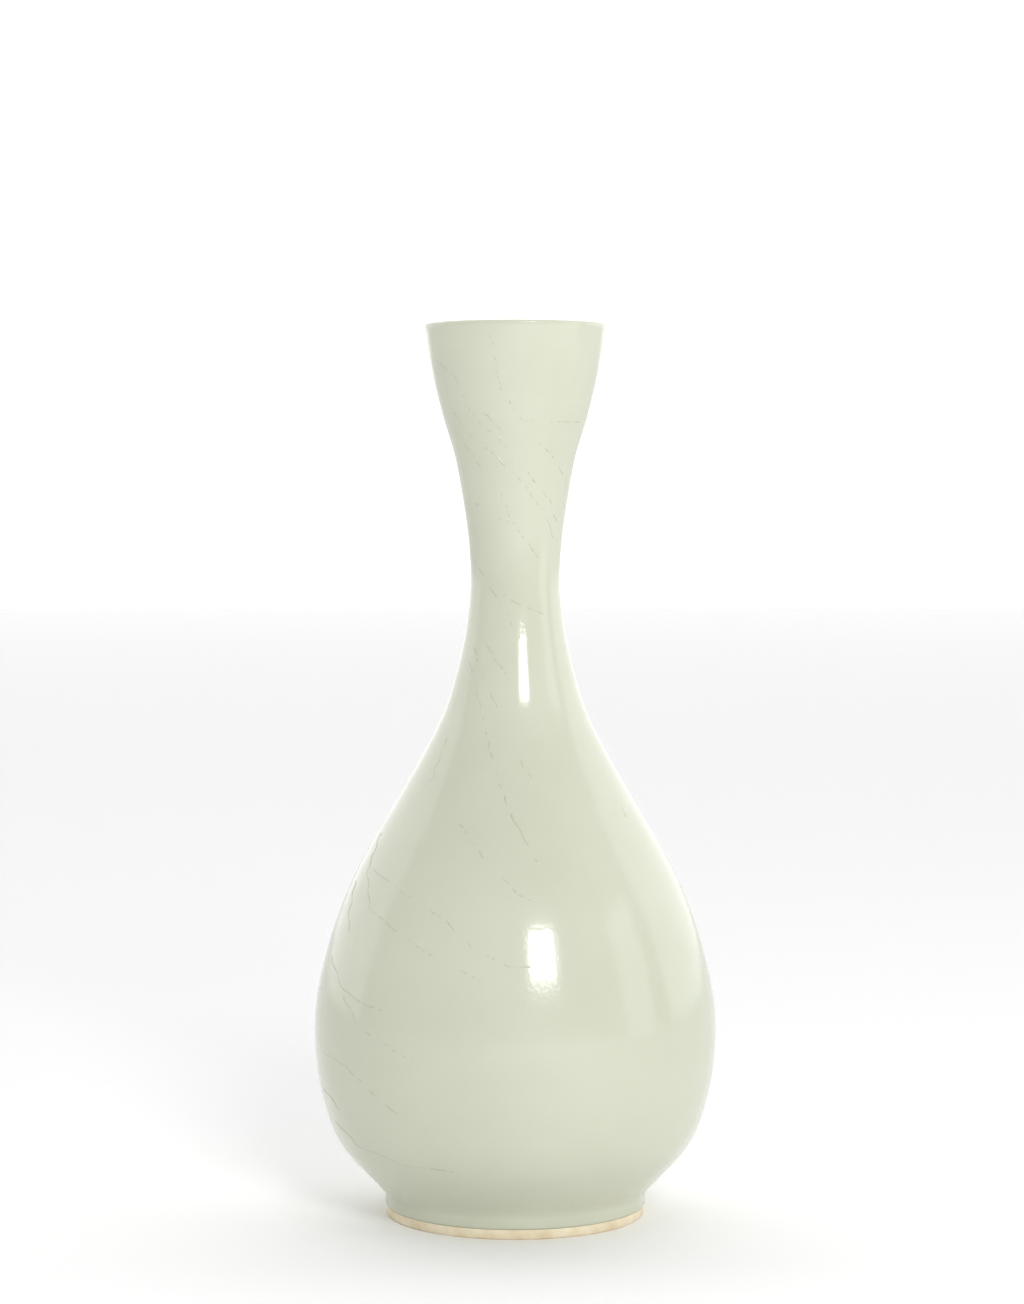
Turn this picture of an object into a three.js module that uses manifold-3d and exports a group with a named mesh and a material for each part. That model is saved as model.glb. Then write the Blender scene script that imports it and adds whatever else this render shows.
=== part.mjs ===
// Long-neck vase in pale green glazed stoneware, 270 mm tall.
// It is thrown in sections that are luted together with slip, then glazed and fired.
// Millimetres, +Z up, standing on its foot ring with the axis on the Z axis.
import * as THREE from "three";
import { mergeVertices } from "three/addons/utils/BufferGeometryUtils.js";
import Module from "manifold-3d";

const wasm = await Module();
wasm.setup();

// Driving dimensions of the glazed outside
const HEIGHT = 270;
const FOOT_RADIUS = 39.6;
const FOOT_HEIGHT = 8.2;
const BOWL_START_RADIUS = 40.6;
const BOWL_RADIUS = 54.6;
const BOWL_HEIGHT = 25;
const BELLY_RADIUS = 60.9;
const BELLY_HEIGHT = 54;
const HIP_RADIUS = 57.3;
const HIP_HEIGHT = 80;
const SHOULDER_RADIUS = 47.9;
const SHOULDER_HEIGHT = 105;
const SLOPE_RADIUS = 33.7;
const SLOPE_HEIGHT = 130;
const NECK_ROOT_RADIUS = 20.8;
const NECK_ROOT_HEIGHT = 155;
const NECK_RADIUS = 13.7;
const NECK_HEIGHT = 190;
const FLARE_RADIUS = 17.2;
const FLARE_HEIGHT = 225;
const TRUMPET_RADIUS = 24.1;
const TRUMPET_HEIGHT = 250;
const LIP_RADIUS = 27.8;

// Thicknesses, measured level with the ground for the walls and upright for the floor
const WALL = 4.2;
const LIP_WALL = 3.2;
const FLOOR = 5;
const GLAZE = 0.5;
const SLIP = 0.6;
const FOOT_RING_WIDTH = 6.2;
const CLEARANCE = 0.3;

// Heights of the seams, of the edge of the glaze and of the joint between the two glazes
const BELLY_SEAM = 51.4;
const NECK_SEAM = 178;
const GLAZE_EDGE = 3.2;
const GLAZE_JOINT = HEIGHT - 6;
const LIP_ROUNDING = 0.4;
const GLAZE_POOL = 2;

// Fineness of the solids
const SEGMENTS = 32;
const RING_STEP = 13;

const OUTLINE = [
  [FOOT_HEIGHT, BOWL_START_RADIUS],
  [BOWL_HEIGHT, BOWL_RADIUS],
  [BELLY_HEIGHT, BELLY_RADIUS],
  [HIP_HEIGHT, HIP_RADIUS],
  [SHOULDER_HEIGHT, SHOULDER_RADIUS],
  [SLOPE_HEIGHT, SLOPE_RADIUS],
  [NECK_ROOT_HEIGHT, NECK_ROOT_RADIUS],
  [NECK_HEIGHT, NECK_RADIUS],
  [FLARE_HEIGHT, FLARE_RADIUS],
  [TRUMPET_HEIGHT, TRUMPET_RADIUS],
  [HEIGHT, LIP_RADIUS],
];

// A smooth curve through the outline's heights, with each slope taken from the neighbours on both sides
function glazedRadius(height) {
  const last = OUTLINE.length - 2;
  let span = OUTLINE.findIndex(([z]) => z > height) - 1;
  span = span < 0 ? (height < FOOT_HEIGHT ? 0 : last) : span;
  const slope = (index) => {
    const before = OUTLINE[Math.max(index - 1, 0)];
    const after = OUTLINE[Math.min(index + 1, last + 1)];
    return (after[1] - before[1]) / (after[0] - before[0]);
  };
  const [lowZ, lowR] = OUTLINE[span];
  const [highZ, highR] = OUTLINE[span + 1];
  const length = highZ - lowZ;
  const t = (height - lowZ) / length;
  const rise = t * t * (3 - 2 * t);
  const leave = t * (1 - t) * (1 - t) * length * slope(span);
  const arrive = t * t * (t - 1) * length * slope(span + 1);
  return lowR + rise * (highR - lowR) + leave + arrive;
}

const clayRadius = (height) => glazedRadius(height) - GLAZE;
const wall = (height) => WALL + ((LIP_WALL - WALL) * height) / HEIGHT;
const cavityRadius = (height) => clayRadius(height) - wall(height);
const linedRadius = (height) => cavityRadius(height) - GLAZE;

// Evenly stepped heights from low to high, both ends included
function heights(low, high) {
  const count = Math.max(1, Math.round((high - low) / RING_STEP));
  return Array.from({ length: count + 1 }, (_, step) => low + ((high - low) * step) / count);
}

// The thrown sections and the slip between them, from the bottom of the bowl to the lip
const SECTIONS = [
  [FOOT_HEIGHT, BELLY_SEAM],
  [BELLY_SEAM + SLIP, NECK_SEAM],
  [NECK_SEAM + SLIP, HEIGHT - GLAZE],
];

function run(radius, low, high) {
  return heights(low, high).map((height) => new THREE.Vector2(radius(height), height));
}

// A run over all the sections' rings, so that glaze and clay share them, with the first section from low
function skinRun(radius, low, high) {
  const rings = SECTIONS.flatMap(([start, end], index) => run(radius, index ? start : low, end));
  return [...rings.filter((point) => point.y < high), new THREE.Vector2(radius(high), high)];
}

// A closed solid of revolution from an outline that goes up the outside and down the inside
function turned(points, closed = true) {
  const outline = closed ? [...points, points[0].clone()] : points;
  const geometry = new THREE.LatheGeometry(outline, SEGMENTS);
  geometry.rotateX(Math.PI / 2);
  return toManifold(geometry);
}

function toManifold(geometry) {
  geometry.deleteAttribute("normal");
  geometry.deleteAttribute("uv");
  const merged = mergeVertices(geometry, 1e-4);
  const mesh = new wasm.Mesh({
    numProp: 3,
    vertProperties: new Float32Array(merged.attributes.position.array),
    triVerts: cleanTriangles(merged.index.array),
  });
  mesh.merge();
  const solid = new wasm.Manifold(mesh);
  return solid.volume() < 0 ? new wasm.Manifold(flipped(mesh)) : solid;
}

function cleanTriangles(index) {
  const kept = [];
  for (let i = 0; i < index.length; i += 3) {
    const [a, b, c] = [index[i], index[i + 1], index[i + 2]];
    if (a !== b && b !== c && c !== a) {
      kept.push(a, b, c);
    }
  }
  return new Uint32Array(kept);
}

function flipped(mesh) {
  const turnedOver = Uint32Array.from(mesh.triVerts);
  for (let i = 0; i < turnedOver.length; i += 3) {
    [turnedOver[i], turnedOver[i + 1]] = [turnedOver[i + 1], turnedOver[i]];
  }
  return new wasm.Mesh({ numProp: 3, vertProperties: mesh.vertProperties, triVerts: turnedOver });
}

function named(name, solid, colour, roughness) {
  const { vertProperties, triVerts } = solid.getMesh();
  const geometry = new THREE.BufferGeometry();
  geometry.setAttribute("position", new THREE.BufferAttribute(new Float32Array(vertProperties), 3));
  geometry.setIndex(new THREE.BufferAttribute(new Uint32Array(triVerts), 1));
  geometry.computeVertexNormals();
  const material = new THREE.MeshStandardMaterial({ color: colour, roughness, metalness: 0 });
  const node = new THREE.Mesh(geometry, material);
  node.name = name;
  return node;
}

const corner = (radius, height) => new THREE.Vector2(radius, height);
const clay = (name, solid) => named(name, solid, 0xd9c9a3, 0.85);
const slip = (name, solid) => named(name, solid, 0xcdbb95, 0.9);
const glaze = (name, solid) => named(name, solid, 0xdfe2cf, 0.12);

const footOutside = FOOT_RADIUS - GLAZE;
const footInside = footOutside - FOOT_RING_WIDTH;
const cavityFloor = FOOT_HEIGHT + FLOOR;

// The turned ring that the vase stands on, with a flat rim and a flat top for the slip
function footRing() {
  const top = FOOT_HEIGHT - SLIP;
  return turned([
    corner(footInside, 0),
    corner(footOutside, 0),
    corner(footOutside, top),
    corner(footInside, top),
  ]);
}

// Slip squeezed between the flat top of the foot ring and the underside of the bowl
function footSlip() {
  const low = FOOT_HEIGHT - SLIP;
  return turned([
    corner(footInside + CLEARANCE, low),
    corner(footOutside, low),
    corner(footOutside, FOOT_HEIGHT),
    corner(footInside + CLEARANCE, FOOT_HEIGHT),
  ]);
}

// The bowl from the floor up to the seam at the widest part
function lowerBody() {
  const inside = run(cavityRadius, cavityFloor, BELLY_SEAM).reverse();
  return turned([
    corner(0, FOOT_HEIGHT),
    ...run(clayRadius, FOOT_HEIGHT, BELLY_SEAM),
    ...inside,
    corner(0, cavityFloor),
  ], false);
}

function section(low, high) {
  return turned([...run(clayRadius, low, high), ...run(cavityRadius, low, high).reverse()]);
}

const upperBody = () => section(...SECTIONS[1]);
const neck = () => section(...SECTIONS[2]);
const seamSlip = (seam) => section(seam, seam + SLIP);

// The skin of glaze outside: a band sunk into the clay, with the clay taken out of it
function outerGlaze(clays) {
  const depth = WALL / 2;
  const skin = turned([
    corner(FOOT_RADIUS, GLAZE_EDGE),
    corner(FOOT_RADIUS, FOOT_HEIGHT - GLAZE_POOL),
    ...skinRun(glazedRadius, FOOT_HEIGHT, HEIGHT - LIP_ROUNDING),
    corner(LIP_RADIUS - LIP_ROUNDING, HEIGHT),
    corner(linedRadius(HEIGHT) + LIP_ROUNDING, HEIGHT),
    corner(linedRadius(HEIGHT - LIP_ROUNDING), HEIGHT - LIP_ROUNDING),
    corner(linedRadius(GLAZE_JOINT), GLAZE_JOINT),
    ...skinRun((height) => clayRadius(height) - depth, FOOT_HEIGHT, GLAZE_JOINT).reverse(),
    corner(footOutside - depth, GLAZE_EDGE),
  ]);
  return clays.reduce((rest, solid) => rest.subtract(solid), skin);
}

// The lining of the cavity, from the floor up to the joint under the lip
function innerGlaze(clays) {
  const depth = WALL / 4;
  const lining = turned([
    corner(0, cavityFloor - depth),
    ...skinRun((height) => cavityRadius(height) + depth, cavityFloor, GLAZE_JOINT),
    ...skinRun(linedRadius, cavityFloor, GLAZE_JOINT).reverse().slice(0, -1),
    corner(linedRadius(cavityFloor + GLAZE), cavityFloor + GLAZE),
    corner(0, cavityFloor + GLAZE),
  ], false);
  return clays.reduce((rest, solid) => rest.subtract(solid), lining);
}

function baseGlaze() {
  const radius = footInside - CLEARANCE;
  const low = FOOT_HEIGHT - GLAZE;
  return turned([
    corner(0, low),
    corner(radius, low),
    corner(radius, FOOT_HEIGHT),
    corner(0, FOOT_HEIGHT),
  ], false);
}

function vase() {
  const solids = {
    foot_ring: footRing(),
    foot_luting_slip: footSlip(),
    lower_body: lowerBody(),
    belly_luting_slip: seamSlip(BELLY_SEAM),
    upper_body: upperBody(),
    neck_luting_slip: seamSlip(NECK_SEAM),
    neck: neck(),
  };
  const clays = Object.values(solids);
  const group = new THREE.Group();
  for (const [name, solid] of Object.entries(solids)) {
    group.add(name.endsWith("slip") ? slip(name, solid) : clay(name, solid));
  }
  group.add(glaze("outer_glaze", outerGlaze(clays)));
  group.add(glaze("inner_glaze", innerGlaze(clays)));
  group.add(glaze("base_glaze", baseGlaze()));
  return group;
}

export default vase();
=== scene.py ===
# %% [markdown]
# A long-neck vase in pale green crackle glaze, dressed over its measured solids.
# The solids give every size. The scene turns finer surfaces from them, and adds the glaze, the raised
# crackle lines, the bare foot and the light.

# %% Load the measured solids
import math

import bmesh
import bpy
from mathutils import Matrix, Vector


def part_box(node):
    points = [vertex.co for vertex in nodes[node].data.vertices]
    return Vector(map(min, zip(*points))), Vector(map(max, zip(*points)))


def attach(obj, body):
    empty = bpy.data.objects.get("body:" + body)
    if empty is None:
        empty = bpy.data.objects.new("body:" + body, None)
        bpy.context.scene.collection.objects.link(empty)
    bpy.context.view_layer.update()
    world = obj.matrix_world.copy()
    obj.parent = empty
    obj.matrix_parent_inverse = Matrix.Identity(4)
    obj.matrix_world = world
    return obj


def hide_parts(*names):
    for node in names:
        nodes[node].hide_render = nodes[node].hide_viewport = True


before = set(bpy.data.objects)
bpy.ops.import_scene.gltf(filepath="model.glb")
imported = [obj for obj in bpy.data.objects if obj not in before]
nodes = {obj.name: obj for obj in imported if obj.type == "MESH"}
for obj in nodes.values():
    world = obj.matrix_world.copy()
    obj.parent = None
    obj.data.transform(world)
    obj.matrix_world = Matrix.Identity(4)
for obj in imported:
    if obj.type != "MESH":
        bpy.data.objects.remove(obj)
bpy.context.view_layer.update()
MM = 0.001

# %% [markdown]
# A thrown pot is a surface of revolution, so its whole shape is one curve of radius against height.
# That curve is read from the rings of the measured solid, and a smooth cubic is passed through them.
# Rings that lie close together are thinned, because they would kink the curve.

# %% Read the outline from the solids
SMALLEST_RING_GAP = 6 * MM
HEIGHT_DIGITS = 5


def radius_of(vertex):
    """How far a vertex is from the axis of the pot."""
    return math.hypot(vertex.co.x, vertex.co.y)


def ring_radii(node, widest=True):
    """The (height, radius) of each ring of a solid's vertices, the widest or the narrowest at each height."""
    pick = max if widest else min
    rings = {}
    for vertex in nodes[node].data.vertices:
        ring_height = round(vertex.co.z, HEIGHT_DIGITS)
        radius = radius_of(vertex)
        rings[ring_height] = pick(rings.get(ring_height, radius), radius)
    return sorted(rings.items())


def smooth_radius(rings, z):
    """The radius at a height, on a cubic curve through the rings."""
    last = len(rings) - 2
    span = max(0, min(last, sum(1 for ring_height, _ in rings if ring_height <= z) - 1))

    def slope(index):
        (z0, r0), (z1, r1) = rings[max(index - 1, 0)], rings[min(index + 1, last + 1)]
        return (r1 - r0) / (z1 - z0)

    (z0, r0), (z1, r1) = rings[span], rings[span + 1]
    length = z1 - z0
    t = (z - z0) / length
    rise = t * t * (3 - 2 * t)
    bend = t * (1 - t) ** 2 * slope(span) + t * t * (t - 1) * slope(span + 1)
    return r0 + rise * (r1 - r0) + bend * length


def thinned(rings):
    """The rings that are far enough apart to carry a smooth curve."""
    kept = [rings[0]]
    for ring in rings[1:]:
        if ring[0] - kept[-1][0] >= SMALLEST_RING_GAP:
            kept.append(ring)
    return kept


outside = ring_radii("outer_glaze")
height = outside[-1][0]
glaze_edge = outside[0][0]
foot_radius, _, foot_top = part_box("foot_ring")[1]
lining_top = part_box("inner_glaze")[1][2]


def on_outside(z):
    """True for a ring of the outside, and not for the lip or for the joint of the two glazes inside it."""
    return foot_top < z < height - MM and abs(z - lining_top) > MM


outside_rings = thinned([ring for ring in outside if on_outside(ring[0])])
lip_radius = max(radius for z, radius in outside if height - MM < z < height)
outside_rings.append((height, lip_radius))
print("height", height, "foot radius", foot_radius, "rings", len(outside_rings))


def glaze_radius(z):
    """The radius of the glazed outside at a height above the foot."""
    return smooth_radius(outside_rings, z)


# %% [markdown]
# Every new surface here is turned like the pot itself: a closed outline swept once round the axis.
# None of these outlines meets the axis, so the mesh is a closed ring with no poles.

# %% Turn a surface
SEGMENTS = 256
RING_STEP = 1 * MM


def turned(name, outline):
    """A smooth closed mesh from (radius, height) points: up the outside and down the inside."""
    work = bmesh.new()
    turns = [2 * math.pi * step / SEGMENTS for step in range(SEGMENTS)]
    rings = [[work.verts.new((r * math.cos(turn), r * math.sin(turn), z)) for turn in turns]
             for r, z in outline]
    for low, high in zip(rings, rings[1:] + rings[:1]):
        for step in range(SEGMENTS):
            after = (step + 1) % SEGMENTS
            work.faces.new((low[step], low[after], high[after], high[step]))
    bmesh.ops.recalc_face_normals(work, faces=work.faces)
    for face in work.faces:
        face.smooth = True
    mesh = bpy.data.meshes.new(name)
    work.to_mesh(mesh)
    work.free()
    piece = bpy.data.objects.new(name, mesh)
    bpy.context.collection.objects.link(piece)
    return piece


def stepped(low, high):
    """Heights from low to high, both included, about one ring step apart."""
    count = max(2, round((high - low) / RING_STEP))
    return [low + (high - low) * step / count for step in range(count + 1)]


# %% [markdown]
# The glaze is a green glass over pale clay, so it is glossy, a little uneven in tone and has the fine
# orange-peel surface of a fired glaze. The bare clay and the slip are matt and grainy.
# Both kinds come from the same recipe: noise between two tones, with a finer noise as bump.

# %% Materials
TONE_DETAIL = 4
TONE_RANGE = (0.35, 0.65)
BUMP_STRENGTH = 0.5


def material(name):
    """A new material, with its tree and its shader."""
    made = bpy.data.materials.new(name)
    made.use_nodes = True
    return made, made.node_tree, made.node_tree.nodes["Principled BSDF"]


def mottled(name, tones, roughness, tone_scale, bump_scale, bump_height):
    """A material that goes between two tones by noise, with a fine bump, in the object's own coordinates."""
    made, tree, shader = material(name)
    shader.inputs["Roughness"].default_value = roughness
    coordinates = tree.nodes.new("ShaderNodeTexCoord")
    noise = tree.nodes.new("ShaderNodeTexNoise")
    noise.inputs["Scale"].default_value = tone_scale
    noise.inputs["Detail"].default_value = TONE_DETAIL
    ramp = tree.nodes.new("ShaderNodeValToRGB")
    for element, position, tone in zip(ramp.color_ramp.elements, TONE_RANGE, tones):
        element.position = position
        element.color = (*tone, 1)
    fine = tree.nodes.new("ShaderNodeTexNoise")
    fine.inputs["Scale"].default_value = bump_scale
    bump = tree.nodes.new("ShaderNodeBump")
    bump.inputs["Strength"].default_value = BUMP_STRENGTH
    bump.inputs["Distance"].default_value = bump_height
    tree.links.new(coordinates.outputs["Object"], noise.inputs["Vector"])
    tree.links.new(coordinates.outputs["Object"], fine.inputs["Vector"])
    tree.links.new(noise.outputs["Fac"], ramp.inputs["Fac"])
    tree.links.new(ramp.outputs["Color"], shader.inputs["Base Color"])
    tree.links.new(fine.outputs["Fac"], bump.inputs["Height"])
    tree.links.new(bump.outputs["Normal"], shader.inputs["Normal"])
    return made


def glaze_material(name, *tones):
    return mottled(name, tones, roughness=0.13, tone_scale=22, bump_scale=900, bump_height=0.06 * MM)


def clay_material(name, *tones):
    return mottled(name, tones, roughness=0.8, tone_scale=160, bump_scale=2400, bump_height=0.2 * MM)


glaze = glaze_material("crackle_glaze", (0.575, 0.60, 0.475), (0.61, 0.63, 0.505))
# The ridge glaze is a darker copy of the glaze. Its darker tone is painted shade for the shaded flanks of the
# raised crackle lines.
ridge_glaze_painted_shade = glaze_material("ridge_glaze_painted_shade", (0.50, 0.53, 0.40), (0.56, 0.58, 0.45))
buff = clay_material("buff_clay", (0.78, 0.66, 0.45), (0.92, 0.83, 0.64))
slip_clay = clay_material("luting_slip", (0.42, 0.38, 0.26), (0.62, 0.54, 0.38))
print("materials", len(bpy.data.materials))

# %% [markdown]
# The outer glaze covers the whole outside and turns over the lip. It stops a few millimetres above
# the ground, because glaze that touched the kiln shelf would weld the pot to it.
# Its outline runs up the outside, over the lip in a half round, down to the lining, and back down
# behind the face, so that it is a closed skin like the solid that it stands for.

# %% Outer glaze
SKIN = 0.9 * MM
LIP_ROUND = 0.8 * MM
LIP_STEPS = 12
FOOT_GLAZE = 0.5 * MM
EDGE_OUT = 0.1 * MM
EDGE_DROP = 0.2 * MM
EDGE_ROLL = 0.5 * MM
POOL_BELOW = 1.5 * MM
POOL_OUT = 0.25 * MM
POOL_TOP = 0.3 * MM
BOWL_START = 1.6 * MM
SKIN_START = 2.6 * MM
SKIN_STOP = 2 * MM
BEHIND_FOOT = 0.2 * MM
BEHIND_TOP = 0.5 * MM
AXIS_CLEAR = 5 * MM

lip_inside = min(radius_of(vertex) for vertex in nodes["outer_glaze"].data.vertices
                 if vertex.co.z > height - MM)
lip_low = height - LIP_ROUND
lip_outside = glaze_radius(lip_low)
lip_middle = (lip_outside + lip_inside) / 2
half_lip = (lip_outside - lip_inside) / 2
lining_rings = thinned(ring_radii("inner_glaze", widest=False))
lining_rings = [ring for ring in lining_rings if ring[1] > AXIS_CLEAR]
foot_face = foot_radius + FOOT_GLAZE


def over_the_foot():
    """From the rolled edge of the glaze up to the pool of glaze in the angle above the foot."""
    return [
        (foot_radius + EDGE_OUT, glaze_edge - EDGE_DROP),
        (foot_face, glaze_edge + EDGE_ROLL),
        (foot_face, foot_top - POOL_BELOW),
        (foot_face + POOL_OUT, foot_top - POOL_TOP),
    ]


def over_the_lip():
    """A half round from the outside of the lip to its inside."""
    angles = [math.pi * step / LIP_STEPS for step in range(1, LIP_STEPS)]
    return [(lip_middle + half_lip * math.cos(angle), height - LIP_ROUND * (1 - math.sin(angle)))
            for angle in angles]


def behind_the_face():
    """From the joint with the lining, through the clay's surface, back down to the edge."""
    skin_low = foot_top + SKIN_START
    skin_high = lining_top - SKIN_STOP
    inner_radius = foot_radius - BEHIND_FOOT
    return [
        (smooth_radius(lining_rings, lining_top), lining_top),
        (lip_middle, lining_top),
        *[(glaze_radius(z) - SKIN, z) for z in reversed(stepped(skin_low, skin_high))],
        (inner_radius, foot_top - BEHIND_TOP),
        (inner_radius, glaze_edge),
    ]


outer = turned("outer_glaze_skin", [
    *over_the_foot(),
    *[(glaze_radius(z), z) for z in stepped(foot_top + BOWL_START, lip_low)],
    *over_the_lip(),
    (lip_inside, lip_low),
    *behind_the_face(),
])
outer.data.materials.append(glaze)
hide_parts("outer_glaze")
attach(outer, "root")
print("outer glaze", len(outer.data.vertices), "points")

# %% [markdown]
# The foot ring is turned once the clay has stiffened, and its rim is kept bare of glaze.
# A small chamfer keeps its two lower edges from being sharp.

# %% Foot ring
CHAMFER = 0.6 * MM
foot_inside = min(radius_of(vertex) for vertex in nodes["foot_ring"].data.vertices)
foot = turned("turned_foot", [
    (foot_inside, CHAMFER),
    (foot_inside + CHAMFER, 0),
    (foot_radius - CHAMFER, 0),
    (foot_radius, CHAMFER),
    (foot_radius, foot_top),
    (foot_inside, foot_top),
])
foot.data.materials.append(buff)
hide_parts("foot_ring")
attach(foot, "root")
print("foot ring", len(foot.data.vertices), "points")

# %% [markdown]
# The other solids are inside the glaze or show only from below or down the neck. They keep their
# measured form and take the finish of their kind: glaze, slip or clay.

# %% Finish of the remaining solids


def finish_of(name):
    """The material of a solid, by the last word of its name."""
    if name.endswith("glaze"):
        return glaze
    return slip_clay if name.endswith("slip") else buff


for name, node in nodes.items():
    if name in ("outer_glaze", "foot_ring"):
        continue
    node.data.materials.clear()
    node.data.materials.append(finish_of(name))
    for polygon in node.data.polygons:
        polygon.use_smooth = False
    print(name, node.data.materials[0].name)

# %% [markdown]
# The camera stands about a metre away, a little below the mouth, and looks slightly down. Its place
# comes from the curves of the foot and the mouth in the photograph.

# %% Camera
CAMERA_DISTANCE = 1.0157
CAMERA_HEIGHT = 0.2216
CAMERA_SIDE = -0.001
PITCH = math.radians(2.858)
LENS = 92.8
SENSOR = 36
scene = bpy.context.scene
camera_data = bpy.data.cameras.new("camera")
camera_data.lens = LENS
camera_data.sensor_width = SENSOR
camera = bpy.data.objects.new("camera", camera_data)
camera.location = (CAMERA_SIDE, -CAMERA_DISTANCE, CAMERA_HEIGHT)
camera.rotation_euler = (math.pi / 2 - PITCH, 0, 0)
scene.collection.objects.link(camera)
scene.camera = camera
print("camera", list(camera.location))

# %% [markdown]
# Fine raised lines cross the glaze, most of them on the left. They look like cracks in the glaze that
# healed in the firing. Their courses are chosen in the photograph, as places in its 1024 by 1304
# frame, and each place is carried along the camera's ray on to the pot.

# %% Courses of the crackle lines
PICTURE_CENTRE = (512, 652)
PICTURE_FOCAL = 3361
CRACKLE_IN_PICTURE = [
    [(440, 363), (455, 376), (467, 404), (480, 422), (503, 442), (526, 470), (550, 501), (557, 524)],
    [(470, 407), (487, 415), (507, 435)],
    [(454, 412), (470, 435), (494, 454), (520, 479), (545, 514), (554, 541)],
    [(459, 431), (471, 453), (500, 490), (512, 521), (545, 567)],
    [(475, 502), (492, 516), (511, 522)],
    [(491, 335), (500, 386), (523, 423), (554, 459), (563, 478)],
    [(522, 420), (545, 421), (582, 422)],
    [(480, 568), (494, 593), (510, 620), (522, 641)],
    [(494, 587), (512, 601), (549, 617)],
    [(480, 631), (494, 658), (516, 688)],
    [(474, 648), (484, 675), (498, 710), (514, 751), (536, 787)],
    [(470, 663), (480, 703), (494, 767), (511, 815), (540, 867)],
    [(447, 738), (433, 778), (425, 789)],
    [(460, 825), (489, 865), (518, 894), (533, 902)],
    [(373, 869), (405, 894), (445, 920), (474, 949), (509, 967), (536, 967)],
    [(381, 834), (368, 871), (370, 909), (394, 929), (434, 958), (485, 983)],
    [(356, 881), (349, 916), (351, 936)],
    [(331, 956), (343, 989), (365, 1005), (384, 1011)],
    [(343, 995), (360, 1027), (391, 1049), (416, 1062)],
    [(322, 1050), (347, 1067), (369, 1089), (400, 1116)],
    [(325, 1089), (342, 1112)],
    [(336, 1121), (359, 1146), (407, 1165), (456, 1172)],
    [(620, 807), (627, 820)],
]
STEP_IN_PICTURE = 3
WANDER_IN_PICTURE = 0.8
WANDER_RATE = 0.35
RIDGE_SINK = 0.14 * MM
MARCH_STEP = 0.4 * MM
MARCH_COUNT = 400
MARCH_LEAD = 70 * MM
LOWEST_OUTSIDE = foot_top + 2 * MM


def on_surface(x, y):
    """The first place where the ray through a point of the picture meets the pot, or None."""
    across = (x - PICTURE_CENTRE[0]) / PICTURE_FOCAL
    up = (PICTURE_CENTRE[1] - y) / PICTURE_FOCAL
    ahead = math.cos(PITCH) + up * math.sin(PITCH)
    ray = Vector((across, ahead, up * math.cos(PITCH) - math.sin(PITCH)))
    spot = camera.location + ray * (CAMERA_DISTANCE - MARCH_LEAD)
    for _ in range(MARCH_COUNT):
        z = min(max(spot.z, LOWEST_OUTSIDE), height)
        if math.hypot(spot.x, spot.y) <= glaze_radius(z) - RIDGE_SINK:
            return spot
        spot = spot + ray * MARCH_STEP
    return None


def places_along(course):
    """Places on the pot along a course, with a slight wander from side to side."""
    places = []
    for start, end in zip(course, course[1:]):
        count = max(2, int(math.dist(start, end) / STEP_IN_PICTURE))
        for step in range(count):
            share = step / count
            y = start[1] + share * (end[1] - start[1])
            wander = WANDER_IN_PICTURE * math.sin(WANDER_RATE * y)
            places.append(on_surface(start[0] + share * (end[0] - start[0]) + wander, y))
    return [place for place in places if place]


def crackle_curves():
    """One curve object, with a polyline for each course."""
    curve = bpy.data.curves.new("crackle_courses", "CURVE")
    curve.dimensions = "3D"
    for course in CRACKLE_IN_PICTURE:
        places = places_along(course)
        spline = curve.splines.new("POLY")
        spline.points.add(len(places) - 1)
        for target, place in zip(spline.points, places):
            target.co = (*place, 1)
    made = bpy.data.objects.new("crackle_courses", curve)
    bpy.context.collection.objects.link(made)
    return made


courses = crackle_curves()
print("crackle courses", len(courses.data.splines))

# %% [markdown]
# A Geometry Nodes tree sweeps a small circle along every course, closes the ends and sets the darker ridge
# material, whose darker tone is painted shade for the shaded flanks of the raised lines. The radius of the
# ridge is its one named input, so all the lines change together.
# The swept ridge is sunk a little, so that only its top stands out of the glaze.

# %% Ridges along the courses
RIDGE_RADIUS = 0.32 * MM
RIDGE_SIDES = 8


def ridge_tree():
    """The tree, and the identifier of its radius input."""
    tree = bpy.data.node_groups.new("ridge_along_courses", "GeometryNodeTree")
    tree.interface.new_socket("Courses", in_out="INPUT", socket_type="NodeSocketGeometry")
    radius = tree.interface.new_socket("Ridge radius", in_out="INPUT", socket_type="NodeSocketFloat")
    tree.interface.new_socket("Ridges", in_out="OUTPUT", socket_type="NodeSocketGeometry")
    inputs = tree.nodes.new("NodeGroupInput")
    outputs = tree.nodes.new("NodeGroupOutput")
    circle = tree.nodes.new("GeometryNodeCurvePrimitiveCircle")
    circle.inputs["Resolution"].default_value = RIDGE_SIDES
    sweep = tree.nodes.new("GeometryNodeCurveToMesh")
    sweep.inputs["Fill Caps"].default_value = True
    realize = tree.nodes.new("GeometryNodeRealizeInstances")
    finish = tree.nodes.new("GeometryNodeSetMaterial")
    finish.inputs["Material"].default_value = ridge_glaze_painted_shade
    tree.links.new(inputs.outputs["Ridge radius"], circle.inputs["Radius"])
    tree.links.new(inputs.outputs["Courses"], sweep.inputs["Curve"])
    tree.links.new(circle.outputs["Curve"], sweep.inputs["Profile Curve"])
    tree.links.new(sweep.outputs["Mesh"], realize.inputs["Geometry"])
    tree.links.new(realize.outputs["Geometry"], finish.inputs["Geometry"])
    tree.links.new(finish.outputs["Geometry"], outputs.inputs["Ridges"])
    return tree, radius.identifier


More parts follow.
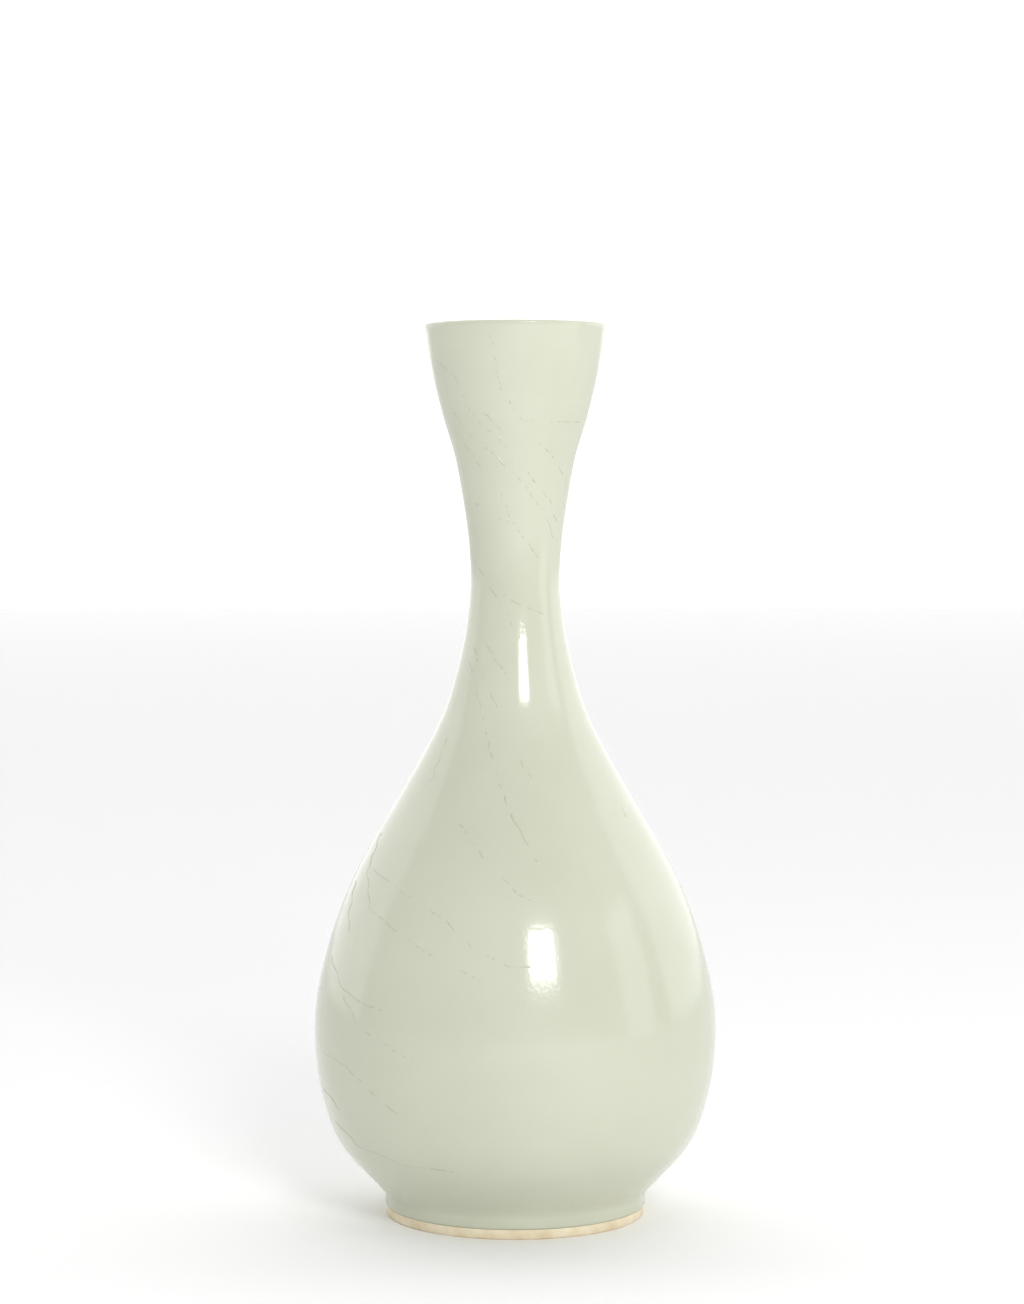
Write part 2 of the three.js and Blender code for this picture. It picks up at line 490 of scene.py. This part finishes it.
def swept(curves):
    """The mesh that the tree makes of the curves."""
    tree, radius_input = ridge_tree()
    modifier = curves.modifiers.new("ridges", "NODES")
    modifier.node_group = tree
    modifier[radius_input] = RIDGE_RADIUS
    bpy.context.view_layer.update()
    mesh = bpy.data.meshes.new_from_object(curves.evaluated_get(bpy.context.evaluated_depsgraph_get()))
    curves.modifiers.remove(modifier)
    for polygon in mesh.polygons:
        polygon.use_smooth = True
    return mesh


ridges = bpy.data.objects.new("crackle_ridges", swept(courses))
bpy.data.objects.remove(courses)
bpy.context.collection.objects.link(ridges)
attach(ridges, "root")
print("crackle ridges", len(ridges.data.polygons), "faces")

# %% [markdown]
# The pot stands on a pale plain floor in front of a bright backdrop. Neither is part of the pot.

# %% Floor and backdrop
STAGE_SIZE = 60
BACKDROP_DISTANCE = 5
PAPER = (0.93, 0.93, 0.93, 1)
PAPER_ROUGHNESS = 0.9
WHITE = (1, 1, 1, 1)
BACKDROP_GLOW = 1.0


def stage_sheet(name, **place):
    """A large square sheet with its own material, and the shader to set its look."""
    bpy.ops.mesh.primitive_plane_add(size=STAGE_SIZE, **place)
    sheet = bpy.context.object
    made, _, shader = material(name)
    sheet.data.materials.append(made)
    return shader


floor_shader = stage_sheet("floor_paper", location=(0, 0, 0))
floor_shader.inputs["Base Color"].default_value = PAPER
floor_shader.inputs["Roughness"].default_value = PAPER_ROUGHNESS
backdrop_shader = stage_sheet(
    "bright_backdrop", location=(0, BACKDROP_DISTANCE, 0), rotation=(math.pi / 2, 0, 0))
backdrop_shader.inputs["Emission Color"].default_value = WHITE
backdrop_shader.inputs["Emission Strength"].default_value = BACKDROP_GLOW
print("stage sheets", STAGE_SIZE, "m wide")

# %% [markdown]
# A soft box to the right of the camera makes the highlight on the belly and the streak on the neck.
# A weak one high up and a weak one on the right soften it, and a pale sky fills the rest.
# Colours are shown as they are, with no film curve, so that the white surroundings stay white.

# %% Light
SOFT_BOXES = {
    "key_box": {"azimuth": 17, "elevation": 26, "distance": 1.6, "size": (0.42, 0.4), "power": 10},
    "top_box": {"azimuth": 25, "elevation": 68, "distance": 1.5, "size": (0.3, 0.5), "power": 0.8},
    "right_box": {"azimuth": 75, "elevation": 12, "distance": 1.4, "size": (0.5, 0.9), "power": 1.5},
}
SKY_STRENGTH = 0.5
target = Vector((0, 0, height / 3))


def soft_box(name, azimuth, elevation, distance, size, power):
    """A rectangular light aimed at the belly, its azimuth in degrees to the right of the camera."""
    light = bpy.data.lights.new(name, "AREA")
    light.shape = "RECTANGLE"
    light.size, light.size_y = size
    light.energy = power
    lamp = bpy.data.objects.new(name, light)
    turn = math.radians(azimuth)
    climb = math.radians(elevation)
    level = math.cos(climb) * distance
    offset = (level * math.sin(turn), -level * math.cos(turn), distance * math.sin(climb))
    lamp.location = target + Vector(offset)
    lamp.rotation_euler = (target - lamp.location).to_track_quat("-Z", "Y").to_euler()
    bpy.context.collection.objects.link(lamp)


for name, settings in SOFT_BOXES.items():
    soft_box(name, **settings)
sky = bpy.data.worlds.new("studio")
scene.world = sky
sky.use_nodes = True
sky_shader = sky.node_tree.nodes["Background"]
sky_shader.inputs["Color"].default_value = WHITE
sky_shader.inputs["Strength"].default_value = SKY_STRENGTH
scene.view_settings.view_transform = "Standard"
print("soft boxes", len(SOFT_BOXES))
